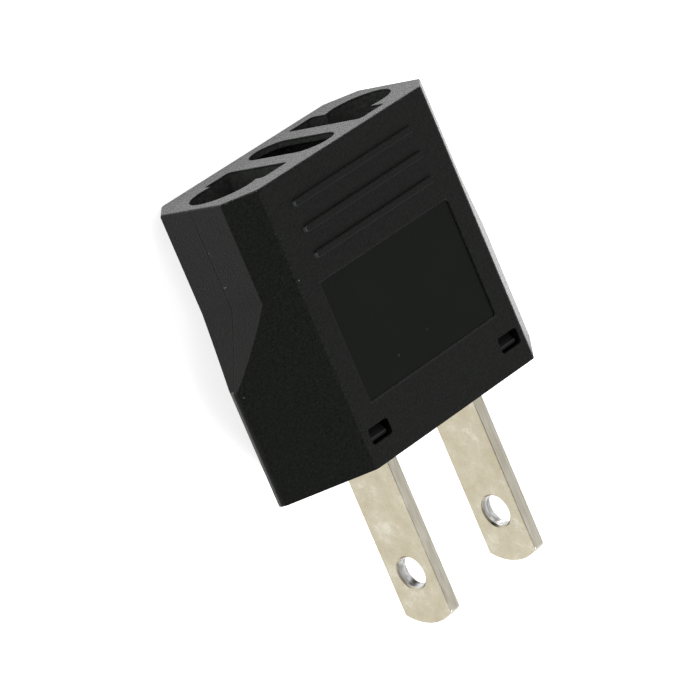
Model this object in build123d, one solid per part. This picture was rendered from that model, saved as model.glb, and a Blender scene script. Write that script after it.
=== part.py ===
from build123d import *
import os
from math import hypot

# A plug adapter: a moulded housing with three socket openings at one end and two flat blades at the
# other. Every piece is drawn upright, blades down and middle plane at Y = 0, and the finished adapter
# is then laid on its wide back face, with the ribbed face up. Left is the -X side. Millimetres.

# Housing, outer form: a long six-sided section with a pointed edge at each end of its width.
HOUSING_LENGTH = 28.3
HALF_DEPTH = 6.9
FACE_HALF_WIDTH = 11.55
POINT_HALF_WIDTH = 18.5
FACE_EDGE_RADIUS = 0.6
POINT_EDGE_RADIUS = 1.0
RIM_RADIUS = 0.25

# Housing, end faces: the pointed edges are cut back to a wall beside the outer openings, and a
# slightly hollow facet slopes from there out to the point.
END_WALL = 1.3
END_FACE_LENGTH = 10.0
FACET_LENGTH = 6.85
FACET_HOLLOW = 0.16

# Housing, inside: an open cavity below a solid block that the socket openings pass through.
WALL = 1.5
CAVITY_EDGE_RADIUS = 0.3
SOCKET_BLOCK_DEPTH = 6.8
RIB_THICKNESS = 1.2
RIB_CLEARANCE = 0.1

# Socket openings: round pins and flat blades share the outer two, the middle one is a plain slot.
PIN_PITCH = 19.0
PIN_HOLE_RADIUS = 3.43
BLADE_PITCH = 12.7
FLAT_SLOT_WIDTH = 3.45
LEFT_SLOT_LENGTH = 8.3
RIGHT_SLOT_LENGTH = 10.2
FLAT_SLOT_SHIFT = 0.08
MIDDLE_SLOT_WIDTH = 4.5
MIDDLE_SLOT_LENGTH = 10.2
MIDDLE_SLOT_LIP = 0.6
MIDDLE_POCKET_MARGIN = 0.7
SLOT_CORNER = 0.4
OPENING_CHAMFER = 0.05

# Front face: raised grip ribs near the sockets. Front and back: a smooth sunk panel below them.
GRIP_COUNT = 3
GRIP_PITCH = 2.58
GRIP_WIDTH = 0.65
GRIP_LENGTH = 16.9
GRIP_HEIGHT = 0.25
FIRST_GRIP_DROP = 2.92
PANEL_WIDTH = 18.25
PANEL_HEIGHT = 12.1
PANEL_FROM_OUTLET = 5.65
PANEL_DEPTH = 0.15
PANEL_CORNER = 0.3
RELIEF_CHAMFER = 0.08

# Snap windows, two in each wide face, and the catches of the base that show in them.
WINDOW_SPACING = 19.0
WINDOW_WIDTH = 2.75
WINDOW_HEIGHT = 1.6
WINDOW_FROM_OUTLET = 2.05
WINDOW_CORNER = 0.3
CATCH_WIDTH = 2.2
CATCH_LEDGE_GAP = 0.25
CATCH_TOP_GAP = 0.1
CATCH_SINK = 0.45
CATCH_CREST = 0.3
CATCH_RAMP = 0.8

# Base: a shallow tray that closes the cavity and carries the blades.
BASE_HEIGHT = 4.0
BASE_FLOOR = 1.6
BASE_WALL = 1.2
BASE_CLEARANCE = 0.1
BOSS_WALL = 1.3
BOSS_LENGTH = 9.0

# Blades
BLADE_WIDTH = 6.35
BLADE_THICKNESS = 1.3
BLADE_REACH = 18.0
BLADE_TIP_RISE = 1.03
BLADE_TIP_CORNER = 0.3
BLADE_EDGE_RADIUS = 0.12
BLADE_HOLE_RADIUS = 1.6
BLADE_HOLE_CHAMFER = 0.2
HOLE_FROM_TIP = 5.3
BLADE_HEAD_HEIGHT = 5.5
BLADE_CLEARANCE = 0.1

# Spring contacts: a leaf on the inner side of each blade head and a clip for a round pin outside it.
STRIP_THICKNESS = 0.4
STRIP_WIDTH = 7.6
SPRING_BOW = 0.4
SPRING_FLARE = 0.35
SPRING_CLEARANCE = 0.6
CLIP_CLEARANCE = 0.2
STRIP_BEND = 0.6

# Rivets: one through each leaf, blade head and clip.
RIVET_RADIUS = 1.2
RIVET_CLEARANCE = 0.05
RIVET_HEAD_RADIUS = 1.8
RIVET_HEAD_HEIGHT = 0.6
RIVET_HEAD_CHAMFER = 0.4

# Room for a cutting tool to pass the surface it starts from.
OVERCUT = 1.0

CAVITY_TOP = HOUSING_LENGTH - SOCKET_BLOCK_DEPTH
BLADE_X = BLADE_PITCH / 2
PIN_X = PIN_PITCH / 2
END_HALF_WIDTH = PIN_X + PIN_HOLE_RADIUS + END_WALL
HEAD_WIDTH = 2 * (HALF_DEPTH - WALL - BLADE_CLEARANCE)
HEAD_TOP = BASE_HEIGHT + BLADE_HEAD_HEIGHT
RIVET_Z = BASE_HEIGHT + BLADE_HEAD_HEIGHT / 2
SPRING_TOP = CAVITY_TOP - SPRING_CLEARANCE
SLOPE_RUN = POINT_HALF_WIDTH - FACE_HALF_WIDTH
# How far the pointed edge moves when its two sides move by one.
POINT_STRETCH = hypot(SLOPE_RUN, HALF_DEPTH) / HALF_DEPTH


def both_sides(half):
    """A sketch or solid and its mirror image across the middle of the width."""
    return half + mirror(half, about=Plane.YZ)


def front_and_back(half):
    """A solid and its mirror image across the middle of the depth."""
    return half + mirror(half, about=Plane.XZ)


def six_sided_section(inset):
    """The housing's section, with every side moved in by the same amount."""
    point_x = POINT_HALF_WIDTH - inset * POINT_STRETCH
    face_y = HALF_DEPTH - inset
    corner_x = point_x - face_y * SLOPE_RUN / HALF_DEPTH
    outline = Polygon(
        (point_x, 0),
        (corner_x, face_y),
        (-corner_x, face_y),
        (-point_x, 0),
        (-corner_x, -face_y),
        (corner_x, -face_y),
        align=None,
    )
    points = outline.vertices().sort_by(lambda v: abs(v.Y))[:2]
    outline = fillet(points, max(POINT_EDGE_RADIUS - inset, CAVITY_EDGE_RADIUS))
    corners = outline.vertices().sort_by(lambda v: abs(v.Y))[-4:]
    return fillet(corners, max(FACE_EDGE_RADIUS - inset, CAVITY_EDGE_RADIUS))


def end_cut(inset):
    """What is cut off beyond the right end face and the facet that slopes from it to the pointed edge."""
    kink_z = HOUSING_LENGTH - END_FACE_LENGTH
    kink = (END_HALF_WIDTH, kink_z)
    facet_run = POINT_HALF_WIDTH - POINT_EDGE_RADIUS * (POINT_STRETCH - 1) - END_HALF_WIDTH
    point = (END_HALF_WIDTH + facet_run, kink_z - FACET_LENGTH)
    facet = SagittaArc(point, kink, FACET_HOLLOW)
    # The facet's line and the end face run on past the housing by their own length.
    low = (END_HALF_WIDTH + 2 * facet_run, kink_z - 2 * FACET_LENGTH)
    high_z = HOUSING_LENGTH + END_FACE_LENGTH
    rest = Polyline(point, low, (low[0], high_z), (END_HALF_WIDTH, high_z), kink)
    profile = make_face([facet, *rest.edges()])
    if inset > 0:
        profile = offset(profile, amount=inset, kind=Kind.INTERSECTION)
    return extrude(Plane.XZ * profile, amount=2 * HALF_DEPTH, both=True)


def housing_form(inset, bottom, top):
    """A solid of the housing's outer form between two heights, moved in by a wall."""
    block = Pos(0, 0, bottom) * extrude(six_sided_section(inset), amount=top - bottom)
    return block - both_sides(end_cut(inset))


def outer_opening(slot_length):
    """An outer opening on the right: a round hole for a pin joined to a flat slot for a blade."""
    slot = RectangleRounded(FLAT_SLOT_WIDTH, slot_length, SLOT_CORNER)
    return Pos(PIN_X, 0) * Circle(PIN_HOLE_RADIUS) + Pos(BLADE_X + FLAT_SLOT_SHIFT, 0) * slot


def middle_opening():
    """The plain slot with round ends between the two outer openings."""
    return Rot(0, 0, 90) * SlotOverall(MIDDLE_SLOT_LENGTH, MIDDLE_SLOT_WIDTH)


def middle_pocket():
    """The wider pocket behind the thin lip of the middle slot, open to the cavity."""
    depth = SOCKET_BLOCK_DEPTH - MIDDLE_SLOT_LIP + OVERCUT
    pocket = offset(middle_opening(), amount=MIDDLE_POCKET_MARGIN)
    return Pos(0, 0, CAVITY_TOP - OVERCUT) * extrude(pocket, amount=depth)


def recess(outline, depth):
    """A recess of the given outline in the front face, with a broken edge, as the solid taken away."""
    face = Plane(origin=(0, -HALF_DEPTH, 0), x_dir=(1, 0, 0), z_dir=(0, -1, 0))
    mouth = offset(outline, amount=RELIEF_CHAMFER)
    edge = extrude(face * mouth, amount=-RELIEF_CHAMFER, taper=45)
    return extrude(face * outline, amount=-depth) + edge


def sunk_panel():
    """The sunk panel of the front face, as the solid taken away."""
    panel_middle = PANEL_FROM_OUTLET + PANEL_HEIGHT / 2
    panel = Pos(0, panel_middle) * RectangleRounded(PANEL_WIDTH, PANEL_HEIGHT, PANEL_CORNER)
    return recess(panel, PANEL_DEPTH)


def grip_rib(number):
    """One of the raised grip ribs of the front face, counted from the sockets, with a broken edge."""
    face = Plane(origin=(0, -HALF_DEPTH, 0), x_dir=(1, 0, 0), z_dir=(0, -1, 0))
    height = HOUSING_LENGTH - FIRST_GRIP_DROP - number * GRIP_PITCH
    outline = Pos(0, height) * SlotOverall(GRIP_LENGTH, GRIP_WIDTH)
    rib = extrude(face * outline, amount=GRIP_HEIGHT, both=True)
    return chamfer(rib.faces().sort_by(Axis.Y)[0].edges(), RELIEF_CHAMFER)


def snap_windows():
    """The two windows through the front wall."""
    face = Plane(origin=(0, -HALF_DEPTH, 0), x_dir=(1, 0, 0), z_dir=(0, -1, 0))
    middle = WINDOW_FROM_OUTLET + WINDOW_HEIGHT / 2
    window = RectangleRounded(WINDOW_WIDTH, WINDOW_HEIGHT, WINDOW_CORNER)
    window = Pos(WINDOW_SPACING / 2, middle) * window
    return both_sides(extrude(face * window, amount=WALL + OVERCUT, both=True))


def hold_down_rib():
    """A rib in the front right of the cavity that keeps a blade head down on the base."""
    outer_y = HALF_DEPTH - WALL / 2
    inner_y = LEFT_SLOT_LENGTH / 2 + RIB_CLEARANCE
    bottom = HEAD_TOP + RIB_CLEARANCE
    height = CAVITY_TOP - bottom
    middle = (BLADE_X, -(outer_y + inner_y) / 2, bottom + height / 2)
    return Pos(*middle) * Box(RIB_THICKNESS, outer_y - inner_y, height)


def make_housing():
    shell = housing_form(0, 0, HOUSING_LENGTH)
    rim = shell.faces().sort_by(Axis.Z)[-1].edges()
    shell = fillet(rim, RIM_RADIUS)
    shell -= housing_form(WALL, -OVERCUT, CAVITY_TOP)
    left_opening = mirror(outer_opening(LEFT_SLOT_LENGTH), about=Plane.YZ)
    openings = outer_opening(RIGHT_SLOT_LENGTH) + left_opening + middle_opening()
    shell -= Pos(0, 0, CAVITY_TOP - OVERCUT) * extrude(openings, amount=SOCKET_BLOCK_DEPTH + 2 * OVERCUT)
    shell -= middle_pocket()
    mouth = shell.faces().sort_by(Axis.Z)[-1].inner_wires()
    shell = chamfer(mouth.edges(), OPENING_CHAMFER)
    shell -= front_and_back(sunk_panel() + snap_windows())
    for number in range(GRIP_COUNT):
        shell += grip_rib(number)
    return shell + front_and_back(both_sides(hold_down_rib()))


def catch():
    """The wedge on the front right edge of the base: an upright crest above its ledge, then a ramp."""
    ledge = WINDOW_FROM_OUTLET + CATCH_LEDGE_GAP
    top = WINDOW_FROM_OUTLET + WINDOW_HEIGHT - CATCH_TOP_GAP
    root_y = -(HALF_DEPTH - WALL - BASE_CLEARANCE - BASE_WALL / 2)
    crest_y = -(HALF_DEPTH - CATCH_SINK)
    ramp = [(crest_y, ledge + CATCH_CREST), (crest_y + CATCH_RAMP, top)]
    wedge = Polygon((root_y, ledge), (crest_y, ledge), *ramp, (root_y, top), align=None)
    return Pos(WINDOW_SPACING / 2, 0, 0) * extrude(Plane.YZ * wedge, amount=CATCH_WIDTH / 2, both=True)


def blade_boss():
    """The block that grips the right blade in the base and carries its head and its clip."""
    inner_x = BLADE_X - BLADE_THICKNESS / 2 - BOSS_WALL
    outer_x = clip_outer_x() + STRIP_THICKNESS
    block = Box(outer_x - inner_x, BOSS_LENGTH, BASE_HEIGHT)
    return Pos((inner_x + outer_x) / 2, 0, BASE_HEIGHT / 2) * block


def make_base():
    rim_inset = WALL + BASE_CLEARANCE
    tray = housing_form(rim_inset, 0, BASE_HEIGHT)
    tray -= housing_form(rim_inset + BASE_WALL, BASE_FLOOR, BASE_HEIGHT + OVERCUT)
    tray += both_sides(blade_boss()) & housing_form(rim_inset, 0, BASE_HEIGHT)
    tray += front_and_back(both_sides(catch()))
    slot = Pos(BLADE_X, 0, BASE_HEIGHT / 2) * Box(
        BLADE_THICKNESS + BLADE_CLEARANCE, BLADE_WIDTH + BLADE_CLEARANCE, BASE_HEIGHT + 2 * OVERCUT
    )
    return tray - both_sides(slot)


def make_blade():
    """The right blade: a flat bar with an arched tip, and a wider head that rests on the base."""
    half = BLADE_WIDTH / 2
    shoulder = -BLADE_REACH + BLADE_TIP_RISE
    tip = ThreePointArc((-half, shoulder), (0, -BLADE_REACH), (half, shoulder))
    sides = Polyline(tip @ 1, (half, BASE_HEIGHT), (-half, BASE_HEIGHT), tip @ 0)
    outline = make_face([tip, *sides.edges()])
    outline = fillet(outline.vertices().sort_by(Axis.Y)[:2], BLADE_TIP_CORNER)
    bar = extrude(Plane.YZ * outline, amount=BLADE_THICKNESS / 2, both=True)
    flat_sides = bar.faces().filter_by(Axis.X)
    rims = flat_sides.edges().filter_by(lambda e: e.center().Z < BASE_HEIGHT - BLADE_EDGE_RADIUS)
    bar = fillet(rims, BLADE_EDGE_RADIUS)
    hole_z = -BLADE_REACH + HOLE_FROM_TIP
    bar -= Pos(0, 0, hole_z) * Rot(0, 90, 0) * Cylinder(BLADE_HOLE_RADIUS, 2 * BLADE_THICKNESS)
    circles = bar.edges().filter_by(GeomType.CIRCLE)
    mouths = circles.filter_by(lambda e: abs(e.arc_center.Z - hole_z) < BLADE_HOLE_CHAMFER)
    bar = chamfer(mouths, BLADE_HOLE_CHAMFER)
    head = Pos(0, 0, RIVET_Z) * Box(BLADE_THICKNESS, HEAD_WIDTH, BLADE_HEAD_HEIGHT)
    return Pos(BLADE_X, 0, 0) * (bar + head) - rivet_bore()


def clip_inner_x():
    """Middle of the clip's inner limb, which is riveted to the outside of the blade head."""
    return BLADE_X + (BLADE_THICKNESS + STRIP_THICKNESS) / 2


def clip_outer_x():
    """Middle of the clip's outer limb, whose flared mouth stays clear of the end wall."""
    return END_HALF_WIDTH - WALL - CLIP_CLEARANCE - SPRING_FLARE - STRIP_THICKNESS / 2


def spring_limb(x, towards):
    """The bowed upper part of a limb, from just above the blade head to its flared mouth."""
    knee = HEAD_TOP + SPRING_BOW
    rise = SPRING_TOP - knee
    return [
        (x, knee),
        (x - towards * SPRING_BOW / 2, knee + rise * 0.2),
        (x + towards * SPRING_BOW, knee + rise * 0.68),
        (x - towards * SPRING_FLARE, SPRING_TOP),
    ]


def strip_along(points):
    """A strip of sheet metal with round ends, bent along a path in the XZ plane."""
    path = Wire(FilletPolyline(*points, radius=STRIP_BEND).edges())
    side = make_face(path.offset_2d(STRIP_THICKNESS / 2, side=Side.BOTH))
    return extrude(Plane.XZ * side, amount=STRIP_WIDTH / 2, both=True)


def make_inner_leaf():
    """The leaf between the middle of the adapter and the right blade."""
    x = BLADE_X - (BLADE_THICKNESS + STRIP_THICKNESS) / 2
    foot = BASE_HEIGHT + STRIP_THICKNESS / 2
    return strip_along([(x, foot)] + spring_limb(x, 1)) - rivet_bore()


def make_pin_clip():
    """The clip outside the right blade, bent up from a floor that lies on the base."""
    inner = spring_limb(clip_inner_x(), 1)
    outer = spring_limb(clip_outer_x(), -1)
    floor_z = BASE_HEIGHT + STRIP_THICKNESS / 2
    floor = [(clip_inner_x(), floor_z), (clip_outer_x(), floor_z)]
    return strip_along(inner[::-1] + floor + outer) - rivet_bore()


def rivet_bore():
    """The hole that the right rivet passes through, long enough for the blade head and both strips."""
    length = BLADE_THICKNESS + 4 * STRIP_THICKNESS
    return Pos(BLADE_X, 0, RIVET_Z) * Rot(0, 90, 0) * Cylinder(RIVET_RADIUS + RIVET_CLEARANCE, length)


def make_rivet():
    """The right rivet: a shank with a low flat head at each end."""
    stack = BLADE_THICKNESS / 2 + STRIP_THICKNESS
    head = Cylinder(RIVET_HEAD_RADIUS, RIVET_HEAD_HEIGHT, align=(Align.CENTER, Align.CENTER, Align.MIN))
    head = chamfer(head.edges().sort_by(Axis.Z)[-1], RIVET_HEAD_CHAMFER)
    shank = Cylinder(RIVET_RADIUS, 2 * stack)
    upper = Pos(0, 0, stack) * head
    rivet = shank + upper + mirror(upper, about=Plane.XY)
    return Pos(BLADE_X, 0, RIVET_Z) * Rot(0, 90, 0) * rivet


def lay_down(solid):
    """Turns an upright piece onto the back face and centres the whole length on the origin."""
    middle = (HOUSING_LENGTH - BLADE_REACH) / 2
    return Pos(0, -middle, HALF_DEPTH) * Rot(-90, 0, 0) * solid


def main():
    right = {
        "blade": make_blade(),
        "inner_leaf": make_inner_leaf(),
        "pin_clip": make_pin_clip(),
        "rivet": make_rivet(),
    }
    pieces = {"housing": make_housing(), "base": make_base()}
    for name, solid in right.items():
        pieces[name + "_right"] = solid
        pieces[name + "_left"] = mirror(solid, about=Plane.YZ)
    os.makedirs("parts", exist_ok=True)
    for name, solid in pieces.items():
        export_step(lay_down(solid), f"parts/{name}.step")


main()
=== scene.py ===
import math

import bpy
from mathutils import Matrix, Vector


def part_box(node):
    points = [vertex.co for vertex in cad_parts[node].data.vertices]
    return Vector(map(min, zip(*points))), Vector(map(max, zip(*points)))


# The adapter lies on its back face, blades towards -Y, ribbed face up. Sizes are in metres.

# Camera: where it looks, the direction of view and the turn of the picture about it.
AIM = Vector((-0.001496, 0.002999, 0.004976))
VIEW_AZIMUTH = 110.174
VIEW_DROP = 47.708
VIEW_ROLL = 82.118
CAMERA_DISTANCE = 0.4729
FOCAL_LENGTH = 260.17
SENSOR_WIDTH = 36.0

# Half of the depth between the two wide faces, and how far from the middle a point of them lies at least.
HALF_DEPTH = 0.0069
WIDE_FACE_FROM = HALF_DEPTH * 0.9

# The sunk panels of both wide faces, from the outlet end, and the least depth of their floors.
PANEL_HALF_WIDTH = 0.009125
PANEL_BOTTOM = 0.00565
PANEL_TOP = 0.01775
PANEL_SUNK = 0.0001

# The rounding of the wide face towards the panel, outside the panel's edge.
BORDER_START = 0.00006
BORDER_END = 0.00018
BORDER_DROP = 0.00004

# The depth that counts as socket face, and the depth at which the finish of that face has faded out.
SOCKET_FACE = 0.00005
SOCKET_RIM = 0.0002

# The space that holds the walls of the socket openings and nothing of the housing's outside.
OPENINGS_HALF_WIDTH = 0.0131
OPENINGS_HALF_DEPTH = 0.0053
OPENINGS_DEPTH = 0.0069

# The grip ribs, the first one RIB_DROP from the socket end. Along their flanks towards the blades lies a
# painted highlight, and at their left ends a painted glint.
RIB_COUNT = 3
RIB_PITCH = 0.00258
RIB_DROP = 0.00292
RIB_HALF_WIDTH = 0.000325
RIB_HALF_LENGTH = 0.00845
FLANK_HALF_WIDTH = 0.0001
GLINT_LENGTH = 0.00013
GLINT_HALF_WIDTH = 0.0002

# The pointed edges, paler along the mould line, a little to its back side.
CREST_FROM_X = 0.01792
CREST_WIDTH = 0.0003

# The line where the two halves of the mould met, along the pointed edges and the end faces.
SEAM_FROM_X = 0.0139
SEAM_START = 0.00002
SEAM_END = 0.00008
SEAM_DEPTH = 0.00005

# Dust and small scuffs on the housing: place, radius and strength from 0 to 1.
SPECKS = (
    ((-0.01137, 0.01393, 0.0138), 0.00008, 0.6),
    ((-0.01772, 0.00576, 0.00768), 0.00007, 0.45),
    ((-0.01423, 0.01529, 0.00708), 0.0001, 0.5),
    ((-0.01423, 0.01533, 0.00728), 0.00008, 0.6),
    ((-0.01423, 0.01876, 0.00701), 0.00007, 0.45),
    ((-0.00369, 0.00266, 0.01365), 0.00011, 0.14),
    ((-0.0038, 0.00259, 0.01365), 0.00007, 0.07),
    ((0.00071, 0.0032, 0.01365), 0.00017, 0.05),
    ((-0.00388, -0.002, 0.0138), 0.00006, 0.12),
)
SPECK_SOLID_SHARE = 0.6
SPECK_COLOUR = (0.22, 0.225, 0.21, 1)

# The catches of the base that stand in the windows, painted lighter than the rest of the base, with a
# painted highlight along their crests.
CATCH_FROM = HALF_DEPTH * 0.85
CATCH_LINE = 0.00256
CATCH_LINE_HALF_WIDTH = 0.00007

# Holes of the blades, and how far from their middles their walls reach.
HOLE_FROM_TIP = 0.0053
HOLE_REACH = 0.00163

# The part of a noise's range that is stretched over the two ends of a colour or a roughness.
STEEP = (0.35, 0.65)
GENTLE = (0.3, 0.7)

# How fine each noise is, as its scale over a metre.
FINE = 5200
COARSE = 2600
BLOTCHES = 140
ROLLING_MARKS = 3200
PLATING_CLOUDS = 420
TARNISH = 700

# Black plastic: how shiny it is, its shades from dark to light, and its roughness.
PLASTIC = {"Specular IOR Level": 0.14}
TEXTURED_SHADES = ((0.0009, 0.0016, 0.0009, 1), (0.0069, 0.0079, 0.0066, 1))
PANEL_SHADES = ((0.0006, 0.0014, 0.0005, 1), (0.0014, 0.0026, 0.0013, 1))
# Painted light: the walls inside the socket openings are painted much lighter than the outside of the
# housing.
PAINTED_LIGHT_WALL_SHADES = ((0.019, 0.021, 0.019, 1), (0.031, 0.033, 0.031, 1))
BASE_SHADES = ((0.005, 0.0056, 0.005, 1), (0.008, 0.0087, 0.008, 1))
# Painted light: the catches are a lighter copy of the base plastic, with a painted highlight along their
# crests.
PAINTED_LIGHT_CATCH_COLOUR = (0.011, 0.0118, 0.011, 1)
CATCH_HIGHLIGHT_COLOUR = (0.045, 0.047, 0.045, 1)
PLASTIC_ROUGHNESS = (0.36, 0.46)
PANEL_ROUGHNESS = (0.3, 0.36)
SOCKET_ROUGHNESS = (0.2, 0.34)

# Colours of the marks on the housing, by the name of their region. Later ones cover earlier ones.
MARK_COLOURS = {
    # Painted highlight on the wide face just below each panel's lower edge.
    "panel_rim_highlight": (0.016, 0.0165, 0.016, 1),
    # Painted highlight along the rib flanks towards the blades.
    "rib_flank_highlights": (0.0095, 0.01, 0.0095, 1),
    # Painted glint at the left ends of the ribs.
    "rib_end_glints": (0.04, 0.042, 0.045, 1),
    "seam": (0.0006, 0.0008, 0.0007, 1),
    "crest": (0.08, 0.08, 0.077, 1),
}

# Depth of the spark-eroded texture of the housing, how much of it is coarse and what is left of it in the
# panels, and the depth of the base's fainter grain.
TEXTURE_DEPTH = 0.00005
COARSE_SHARE = 0.5
PANEL_TEXTURE_SHARE = 0.12
BASE_GRAIN_DEPTH = 0.000008

# Nickel plating: shades of the broad sides, the narrow edges and the hole walls, and the patches in them.
METAL = {"Metallic": 1.0}
BROAD_SHADES = ((0.535, 0.48, 0.345, 1), (0.66, 0.61, 0.475, 1))
EDGE_SHADES = ((0.56, 0.525, 0.43, 1), (0.68, 0.645, 0.55, 1))
HOLE_SHADES = ((0.5, 0.49, 0.47, 1), (0.9, 0.9, 0.89, 1))
PALE_PATCH_COLOUR = (0.76, 0.725, 0.61, 1)
PALE_PATCHES = (0.56, 0.74)
DULL_SPOT_COLOUR = (0.52, 0.475, 0.37, 1)
DULL_SPOTS = (0.56, 0.72)
HOLE_STREAKS = (0.4, 0.6)
NICKEL_ROUGHNESS = (0.22, 0.44)
CLOUD_SHARE = 0.6
ROLLING_STRETCH = (1.0, 0.12, 1.0)
SPOT_RELIEF = 0.7
PLATING_DEPTH = 0.000016

# From where to where a face counts as turned to the side, by the sideways part of its normal.
TURNED_SIDEWAYS = (0.4, 0.7)

# Contacts and rivets inside: shades and roughness, which tarnish raises.
BRONZE_SHADES = ((0.42, 0.27, 0.13, 1), (0.58, 0.4, 0.2, 1))
BRONZE_ROUGHNESS = 0.3
BRASS_SHADES = ((0.55, 0.42, 0.2, 1), (0.68, 0.54, 0.28, 1))
BRASS_ROUGHNESS = 0.25
TARNISH_ROUGHNESS = 0.12
TARNISH_DEPTH = 0.00001

# The white floor: how much it shines by itself to the camera, and how bright it is in mirror reflections.
# That rises over a short fade beyond the socket end, and again to the right of the housing.
FLOOR_SIZE = 3.0
FLOOR_LEVEL = -0.00002
FLOOR_COLOUR = (0.82, 0.82, 0.82, 1)
FLOOR_GLOW = 0.7
FLOOR_MIRRORED = 1.1
FLOOR_MIRRORED_BEYOND = 1.6
BEYOND_FADE = 0.003
FLOOR_MIRRORED_LIFT = 2.3
LIFT_SIDE_FADE = 0.006
LIFT_OUTLET_START = 0.007
LIFT_OUTLET_END = 0.003
LIFT_SOCKET_FADE = 0.002

# A sky that is bright on one side and dim on the other, and two soft lamps.
SKY_BRIGHT_SIDE = Vector((0.6, 0.1, 0.79)).normalized()
SKY_FADE = (-0.2, 0.8)
SKY_LEVELS = (0.22, 0.72)
KEY_PLACE = (0.0, -0.5, 0.35)
KEY_SIZE = 0.25
KEY_POWER = 4.0
FILL_PLACE = (-0.25, 0.5, 0.06)
FILL_SIZE = 0.2
FILL_POWER = 3.0
WHITE = (1, 1, 1, 1)


class Nodes:
    """The node tree of a material or of the world, with short calls to add and join nodes."""

    def __init__(self, owner, output="OutputMaterial"):
        self.owner = owner
        owner.use_nodes = True
        self.tree = owner.node_tree
        self.tree.nodes.clear()
        self.output = self.add(output)

    def add(self, kind, **settings):
        node = self.tree.nodes.new("ShaderNode" + kind)
        for key, value in settings.items():
            if key in node.inputs:
                node.inputs[key].default_value = value
            else:
                setattr(node, key, value)
        return node

    def link(self, source, target):
        self.tree.links.new(source, target)

    def math(self, operation, first, second=None):
        node = self.add("Math", operation=operation)
        for socket, value in zip(node.inputs, (first, second)):
            if value is None:
                continue
            if isinstance(value, (int, float)):
                socket.default_value = value
            else:
                self.link(value, socket)
        return node.outputs[0]

    def apart(self, value, mark):
        """How far value is from mark, to either side."""
        return self.math("ABSOLUTE", self.math("SUBTRACT", value, mark))

    def above(self, value, mark):
        return self.math("GREATER_THAN", value, mark)

    def below(self, value, mark):
        return self.math("LESS_THAN", value, mark)

    def every(self, *masks):
        """The product of masks, each 0 to 1."""
        product = masks[0]
        for mask in masks[1:]:
            product = self.math("MULTIPLY", product, mask)
        return product

    def largest(self, *values):
        """The largest of some values at each point."""
        largest = values[0]
        for value in values[1:]:
            largest = self.math("MAXIMUM", largest, value)
        return largest

    def ramp(self, value, low, high, start=0.0, end=1.0):
        """value taken from the range low..high to start..end, and held there."""
        node = self.add("MapRange", clamp=True)
        self.link(value, node.inputs["Value"])
        for name, number in zip(("From Min", "From Max", "To Min", "To Max"), (low, high, start, end)):
            node.inputs[name].default_value = number
        return node.outputs["Result"]

    def place(self):
        """Position on the object, in metres."""
        return self.add("TexCoord").outputs["Object"]

    def parts(self, vector):
        """x, y and z of a vector."""
        node = self.add("SeparateXYZ")
        self.link(vector, node.inputs[0])
        return tuple(node.outputs)

    def noise(self, scale, detail=2.0, roughness=0.5, vector=None):
        node = self.add("TexNoise", Scale=scale, Detail=detail, Roughness=roughness)
        self.link(vector if vector else self.place(), node.inputs["Vector"])
        return node.outputs["Fac"]

    def mix(self, factor, first, second):
        """The first colour where factor is 0, the second where it is 1."""
        node = self.add("Mix", data_type="RGBA")
        colours = [socket for socket in node.inputs if socket.type == "RGBA"]
        for socket, value in zip(colours, (first, second)):
            if isinstance(value, tuple):
                socket.default_value = value
            else:
                self.link(value, socket)
        self.link(factor, node.inputs[0])
        return [socket for socket in node.outputs if socket.type == "RGBA"][0]

    def blend(self, factor, first, second):
        """The first number where factor is 0, the second where it is 1."""
        node = self.add("Mix", data_type="FLOAT")
        self.link(factor, node.inputs[0])
        self.link(first, node.inputs[2])
        self.link(second, node.inputs[3])
        return node.outputs[0]

    def choose(self, factor, first, second):
        """The first shader where factor is 0, the second where it is 1."""
        node = self.add("MixShader")
        self.link(factor, node.inputs[0])
        self.link(first.outputs[0], node.inputs[1])
        self.link(second.outputs[0], node.inputs[2])
        return node

    def bump(self, height, distance):
        node = self.add("Bump", Distance=distance, Strength=1.0)
        self.link(height, node.inputs["Height"])
        return node.outputs["Normal"]

    def surface(self, colour, roughness, normal, constants):
        """The finished material, with one principled shader that has these constants."""
        shader = self.add("BsdfPrincipled", **constants)
        self.link(colour, shader.inputs["Base Color"])
        self.link(roughness, shader.inputs["Roughness"])
        self.link(normal, shader.inputs["Normal"])
        return self.finish(shader)

    def finish(self, shader):
        self.link(shader.outputs[0], self.output.inputs["Surface"])
        return self.owner


def new_material(name):
    return Nodes(bpy.data.materials.new(name))


def panel_marks(nodes, y, from_side, from_middle):
    """Masks of the sunk panels, of their rounded borders and of the painted highlights on their rims
    towards the blades.
    """
    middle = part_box("housing")[0][1] + (PANEL_BOTTOM + PANEL_TOP) / 2
    on_wide_face = nodes.above(from_middle, WIDE_FACE_FROM)

    # How far outside the panel's outline a point of the wide face lies, below 0 inside it.
    beside = nodes.math("SUBTRACT", from_side, PANEL_HALF_WIDTH)
    beyond = nodes.math("SUBTRACT", nodes.apart(y, middle), (PANEL_TOP - PANEL_BOTTOM) / 2)
    outside = nodes.largest(beside, beyond)

    deep = nodes.below(from_middle, HALF_DEPTH - PANEL_SUNK)
    panel = nodes.every(on_wide_face, nodes.below(outside, 0.0), deep)
    border = nodes.every(on_wide_face, nodes.ramp(outside, BORDER_START, BORDER_END, 1.0, 0.0))
    lower_rim = nodes.every(
        nodes.below(y, middle),
        nodes.below(beside, beyond),
        nodes.ramp(outside, -BORDER_END, -BORDER_START),
    )
    rounded = nodes.every(border, nodes.math("SUBTRACT", 1.0, lower_rim))
    # A painted highlight on the wide face just outside the panel's lower edge.
    rim_highlight = nodes.every(border, nodes.above(outside, 0.0), lower_rim)
    return panel, rounded, rim_highlight


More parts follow.
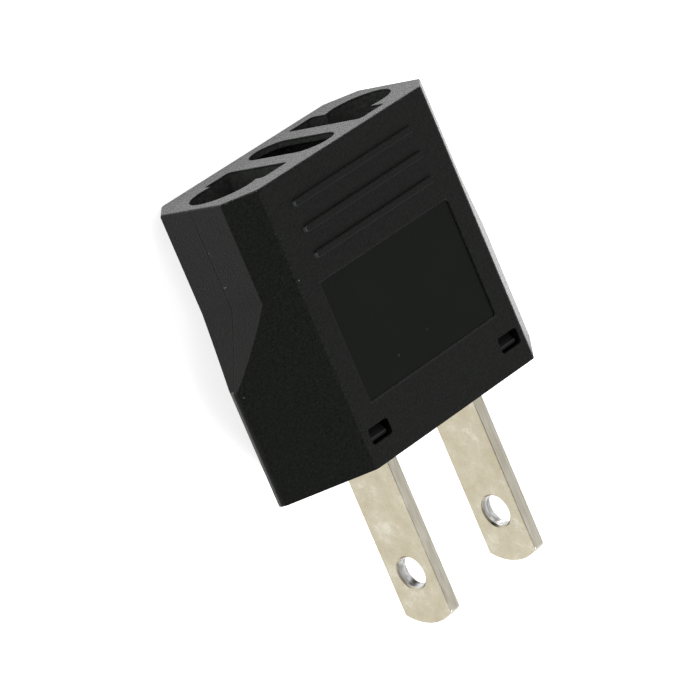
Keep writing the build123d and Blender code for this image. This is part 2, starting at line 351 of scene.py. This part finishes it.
def rib_marks(nodes, x, y, z):
    """Masks of the painted highlights along the flanks of the grip ribs towards the blades, and of the
    painted glints at their left ends.
    """
    low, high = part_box("housing")
    on_front = nodes.above(z, low[2] + HALF_DEPTH + WIDE_FACE_FROM)
    flanks = []
    ends = []
    for number in range(RIB_COUNT):
        rib = high[1] - RIB_DROP - number * RIB_PITCH
        # A painted highlight along each rib's flank towards the blades, and a painted glint at its left
        # end.
        flanks.append(nodes.below(nodes.apart(y, rib - RIB_HALF_WIDTH), FLANK_HALF_WIDTH))
        ends.append(nodes.below(nodes.apart(y, rib), GLINT_HALF_WIDTH))
    along = nodes.below(nodes.math("ABSOLUTE", x), RIB_HALF_LENGTH)
    at_tip = nodes.every(
        nodes.above(x, -RIB_HALF_LENGTH - GLINT_LENGTH / 2),
        nodes.below(x, -RIB_HALF_LENGTH + GLINT_LENGTH),
    )
    rib_flank_highlights = nodes.every(nodes.largest(*flanks), on_front, along)
    rib_end_glints = nodes.every(nodes.largest(*ends), on_front, at_tip)
    return rib_flank_highlights, rib_end_glints


def opening_walls(nodes, y, from_side, from_middle):
    """Mask of the walls of the socket openings."""
    socket_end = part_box("housing")[1][1]
    return nodes.every(
        nodes.below(from_side, OPENINGS_HALF_WIDTH),
        nodes.below(from_middle, OPENINGS_HALF_DEPTH),
        nodes.above(y, socket_end - OPENINGS_DEPTH),
        nodes.below(y, socket_end - SOCKET_FACE),
    )


def edge_crest(nodes, z, from_side, from_middle):
    """Mask of the pale line along the pointed edges."""
    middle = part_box("housing")[0][2] + HALF_DEPTH
    return nodes.every(
        nodes.above(from_side, CREST_FROM_X),
        nodes.below(from_middle, CREST_WIDTH),
        nodes.below(z, middle),
    )


def housing_regions(nodes):
    """Masks over the housing, each 1 inside its region and 0 elsewhere, by name."""
    low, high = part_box("housing")
    x, y, z = nodes.parts(nodes.place())
    from_side = nodes.math("ABSOLUTE", x)
    from_middle = nodes.apart(z, low[2] + HALF_DEPTH)
    panel, panel_border, panel_rim_highlight = panel_marks(nodes, y, from_side, from_middle)
    rib_flank_highlights, rib_end_glints = rib_marks(nodes, x, y, z)
    seam = nodes.ramp(from_middle, SEAM_START, SEAM_END, 1.0, 0.0)
    return {
        "panel": panel,
        "panel_border": panel_border,
        "panel_rim_highlight": panel_rim_highlight,
        "rib_flank_highlights": rib_flank_highlights,
        "rib_end_glints": rib_end_glints,
        "socket": nodes.ramp(y, high[1] - SOCKET_RIM, high[1] - SOCKET_FACE),
        "openings": opening_walls(nodes, y, from_side, from_middle),
        "seam": nodes.every(seam, nodes.above(from_side, SEAM_FROM_X)),
        "crest": edge_crest(nodes, z, from_side, from_middle),
    }


def specks(nodes):
    """How strongly dust or a scuff covers each point of the housing."""
    covers = []
    for place, radius, strength in SPECKS:
        apart = nodes.add("VectorMath", operation="DISTANCE")
        nodes.link(nodes.place(), apart.inputs[0])
        apart.inputs[1].default_value = place
        covers.append(nodes.ramp(apart.outputs["Value"], radius * SPECK_SOLID_SHARE, radius, strength, 0.0))
    return nodes.largest(*covers)


def housing_plastic():
    """Black moulded plastic with a fine spark-eroded texture, smooth on the sunk panels."""
    nodes = new_material("housing_plastic")
    region = housing_regions(nodes)
    grain = nodes.noise(FINE, detail=3, roughness=0.6)
    coarse = nodes.noise(COARSE)
    blotch = nodes.noise(BLOTCHES, detail=3)

    shade = nodes.mix(nodes.ramp(grain, *STEEP), *TEXTURED_SHADES)
    shade = nodes.mix(region["panel"], shade, nodes.mix(nodes.ramp(blotch, *GENTLE), *PANEL_SHADES))
    # The walls of the socket openings, painted lighter as painted light.
    shade = nodes.mix(region["openings"], shade, nodes.mix(nodes.ramp(coarse, *STEEP), *PAINTED_LIGHT_WALL_SHADES))
    for name, colour in MARK_COLOURS.items():
        shade = nodes.mix(region[name], shade, colour)
    shade = nodes.mix(specks(nodes), shade, SPECK_COLOUR)

    rough = nodes.ramp(grain, *GENTLE, *PLASTIC_ROUGHNESS)
    rough = nodes.blend(region["panel"], rough, nodes.ramp(blotch, *GENTLE, *PANEL_ROUGHNESS))
    rough = nodes.blend(region["socket"], rough, nodes.ramp(grain, *GENTLE, *SOCKET_ROUGHNESS))

    texture = nodes.math("ADD", grain, nodes.math("MULTIPLY", coarse, COARSE_SHARE))
    depth = nodes.ramp(region["panel"], 0, 1, TEXTURE_DEPTH, TEXTURE_DEPTH * PANEL_TEXTURE_SHARE)
    depth = nodes.math("ADD", depth, nodes.math("MULTIPLY", region["socket"], TEXTURE_DEPTH))
    height = nodes.math("MULTIPLY", texture, depth)
    for name, drop in (("seam", SEAM_DEPTH), ("panel_border", BORDER_DROP)):
        height = nodes.math("SUBTRACT", height, nodes.math("MULTIPLY", region[name], drop))
    return nodes.surface(shade, rough, nodes.bump(height, 1.0), PLASTIC)


def catch_marks(nodes):
    """Masks of the catches of the base, which are painted lighter, and of the painted highlights along
    their crests.
    """
    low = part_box("housing")[0]
    _, y, z = nodes.parts(nodes.place())
    catch = nodes.above(nodes.apart(z, low[2] + HALF_DEPTH), CATCH_FROM)
    from_line = nodes.apart(y, low[1] + CATCH_LINE)
    line = nodes.ramp(from_line, CATCH_LINE_HALF_WIDTH / 2, CATCH_LINE_HALF_WIDTH, 1.0, 0.0)
    return catch, nodes.every(catch, line)


def base_plastic():
    """Smooth black moulded plastic of the base, painted lighter on its catches, with a painted highlight
    along their crests.
    """
    nodes = new_material("base_plastic")
    grain = nodes.noise(COARSE)
    catch, line = catch_marks(nodes)
    shade = nodes.mix(nodes.ramp(grain, *STEEP), *BASE_SHADES)
    # The catches painted lighter, and a painted highlight along their crests.
    shade = nodes.mix(catch, shade, PAINTED_LIGHT_CATCH_COLOUR)
    shade = nodes.mix(line, shade, CATCH_HIGHLIGHT_COLOUR)
    rough = nodes.ramp(grain, *GENTLE, *PLASTIC_ROUGHNESS)
    return nodes.surface(shade, rough, nodes.bump(grain, BASE_GRAIN_DEPTH), PLASTIC)


def hole_walls(nodes):
    """Mask of the walls of the holes near the blade tips."""
    _, y, z = nodes.parts(nodes.place())
    along = nodes.math("SUBTRACT", y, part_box("blade_left")[0][1] + HOLE_FROM_TIP)
    across = nodes.math("SUBTRACT", z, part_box("housing")[0][2] + HALF_DEPTH)
    squares = nodes.math("ADD", nodes.every(along, along), nodes.every(across, across))
    return nodes.below(squares, HOLE_REACH * HOLE_REACH)


def nickel_plate():
    """Dull nickel plating over rolled strip: warm grey, faintly mottled, paler on the narrow edges."""
    nodes = new_material("nickel_plate")
    stretched = nodes.add("Mapping", Scale=ROLLING_STRETCH)
    nodes.link(nodes.place(), stretched.inputs["Vector"])
    marks = nodes.noise(ROLLING_MARKS, detail=3, vector=stretched.outputs[0])
    cloud = nodes.noise(PLATING_CLOUDS, detail=4, roughness=0.65)
    spots = nodes.noise(FINE)
    sideways = nodes.math("ABSOLUTE", nodes.parts(nodes.add("TexCoord").outputs["Normal"])[0])
    narrow = nodes.ramp(sideways, *TURNED_SIDEWAYS, 1.0, 0.0)

    broad = nodes.mix(nodes.ramp(cloud, *STEEP), *BROAD_SHADES)
    broad = nodes.mix(nodes.ramp(cloud, *PALE_PATCHES), broad, PALE_PATCH_COLOUR)
    broad = nodes.mix(nodes.ramp(spots, *DULL_SPOTS), broad, DULL_SPOT_COLOUR)
    edge = nodes.mix(nodes.ramp(marks, *STEEP), *EDGE_SHADES)
    shade = nodes.mix(narrow, broad, edge)
    shade = nodes.mix(hole_walls(nodes), shade, nodes.mix(nodes.ramp(marks, *HOLE_STREAKS), *HOLE_SHADES))

    clouded = nodes.math("MULTIPLY", cloud, CLOUD_SHARE)
    blend = nodes.math("ADD", clouded, nodes.math("MULTIPLY", marks, 1 - CLOUD_SHARE))
    rough = nodes.ramp(blend, *GENTLE, *NICKEL_ROUGHNESS)
    height = nodes.math("ADD", marks, nodes.math("MULTIPLY", spots, SPOT_RELIEF))
    return nodes.surface(shade, rough, nodes.bump(height, PLATING_DEPTH), METAL)


def tarnished_metal(name, shades, roughness):
    """A plain rolled or turned metal with slight tarnish."""
    nodes = new_material(name)
    cloud = nodes.noise(TARNISH, detail=3)
    shade = nodes.mix(nodes.ramp(cloud, *STEEP), *shades)
    rough = nodes.ramp(cloud, *GENTLE, roughness, roughness + TARNISH_ROUGHNESS)
    return nodes.surface(shade, rough, nodes.bump(cloud, TARNISH_DEPTH), METAL)


def dress():
    """Gives every piece its material."""
    bronze = tarnished_metal("contact_bronze", BRONZE_SHADES, BRONZE_ROUGHNESS)
    brass = tarnished_metal("rivet_brass", BRASS_SHADES, BRASS_ROUGHNESS)
    nickel = nickel_plate()
    materials = {"housing": housing_plastic(), "base": base_plastic()}
    for side in ("left", "right"):
        materials["blade_" + side] = nickel
        materials["inner_leaf_" + side] = bronze
        materials["pin_clip_" + side] = bronze
        materials["rivet_" + side] = brass
    for name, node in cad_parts.items():
        for slot in node.material_slots:
            slot.material = materials[name]


def mirrored_level(nodes):
    """How bright each place of the floor is in mirror reflections."""
    low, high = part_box("housing")
    x, y, _ = nodes.parts(nodes.place())
    level = nodes.ramp(y, high[1], high[1] + BEYOND_FADE, FLOOR_MIRRORED, FLOOR_MIRRORED_BEYOND)
    beside = nodes.every(
        nodes.ramp(x, high[0], high[0] + LIFT_SIDE_FADE),
        nodes.ramp(y, low[1] - LIFT_OUTLET_START, low[1] - LIFT_OUTLET_END),
        nodes.ramp(y, high[1] - LIFT_SOCKET_FADE, high[1], 1.0, 0.0),
    )
    return nodes.math("ADD", level, nodes.math("MULTIPLY", beside, FLOOR_MIRRORED_LIFT))


def floor_white():
    """A white sheet that keeps the adapter's shadow, and is plainly bright in mirror reflections."""
    nodes = new_material("floor")
    path = nodes.add("LightPath")
    plain = nodes.add("BsdfDiffuse", Color=FLOOR_COLOUR)
    glow = nodes.add("Emission", Color=WHITE, Strength=FLOOR_GLOW)
    lit = nodes.add("AddShader")
    nodes.link(plain.outputs[0], lit.inputs[0])
    nodes.link(glow.outputs[0], lit.inputs[1])
    mirrored = nodes.add("Emission", Color=WHITE)
    nodes.link(mirrored_level(nodes), mirrored.inputs["Strength"])
    unseen = nodes.choose(path.outputs["Is Glossy Ray"], plain, mirrored)
    return nodes.finish(nodes.choose(path.outputs["Is Camera Ray"], unseen, lit))


def make_floor():
    """The sheet under the adapter."""
    half = FLOOR_SIZE / 2
    mesh = bpy.data.meshes.new("floor")
    corners = [(-half, -half, 0), (half, -half, 0), (half, half, 0), (-half, half, 0)]
    mesh.from_pydata(corners, [], [(0, 1, 2, 3)])
    mesh.materials.append(floor_white())
    floor = bpy.data.objects.new("floor", mesh)
    floor.location.z = FLOOR_LEVEL
    bpy.context.scene.collection.objects.link(floor)


def make_world():
    """Soft light from all round, brighter from one side, and white to the camera."""
    nodes = Nodes(bpy.data.worlds.new("studio"), "OutputWorld")
    towards = nodes.add("VectorMath", operation="DOT_PRODUCT")
    nodes.link(nodes.add("TexCoord").outputs["Generated"], towards.inputs[0])
    towards.inputs[1].default_value = SKY_BRIGHT_SIDE
    light = nodes.add("Background", Color=WHITE)
    nodes.link(nodes.ramp(towards.outputs["Value"], *SKY_FADE, *SKY_LEVELS), light.inputs["Strength"])
    white = nodes.add("Background", Color=WHITE)
    to_camera = nodes.add("LightPath").outputs["Is Camera Ray"]
    bpy.context.scene.world = nodes.finish(nodes.choose(to_camera, light, white))


def soft_box(name, place, size, power):
    """A square lamp at a place, turned to the adapter."""
    lamp = bpy.data.lights.new(name, "AREA")
    lamp.size = size
    lamp.energy = power
    box = bpy.data.objects.new(name, lamp)
    bpy.context.scene.collection.objects.link(box)
    box.location = place
    box.rotation_euler = (AIM - Vector(place)).to_track_quat("-Z", "Y").to_euler()


def make_camera():
    """The camera of the picture, given by its direction of view and its turn about it."""
    azimuth = math.radians(VIEW_AZIMUTH)
    drop = math.radians(VIEW_DROP)
    roll = math.radians(VIEW_ROLL)
    forward = Vector((
        math.sin(azimuth) * math.cos(drop),
        math.cos(azimuth) * math.cos(drop),
        -math.sin(drop),
    ))
    level = forward.cross(Vector((0, 0, 1))).normalized()
    above = level.cross(forward)
    right = math.cos(roll) * level + math.sin(roll) * above
    up = right.cross(forward)
    lens = bpy.data.cameras.new("camera")
    lens.lens = FOCAL_LENGTH
    lens.sensor_width = SENSOR_WIDTH
    camera = bpy.data.objects.new("camera", lens)
    bpy.context.scene.collection.objects.link(camera)
    turn = Matrix((right, up, -forward)).transposed().to_4x4()
    camera.matrix_world = Matrix.Translation(AIM - forward * CAMERA_DISTANCE) @ turn
    bpy.context.scene.camera = camera


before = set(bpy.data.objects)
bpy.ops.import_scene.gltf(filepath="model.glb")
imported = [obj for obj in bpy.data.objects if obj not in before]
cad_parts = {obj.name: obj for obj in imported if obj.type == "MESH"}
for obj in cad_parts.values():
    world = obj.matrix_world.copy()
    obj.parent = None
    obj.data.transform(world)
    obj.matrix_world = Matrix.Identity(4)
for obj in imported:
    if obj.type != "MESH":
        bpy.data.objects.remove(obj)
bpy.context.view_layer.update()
bpy.context.scene.view_settings.view_transform = "Standard"
make_camera()
make_world()
make_floor()
soft_box("key", KEY_PLACE, KEY_SIZE, KEY_POWER)
soft_box("fill", FILL_PLACE, FILL_SIZE, FILL_POWER)
dress()
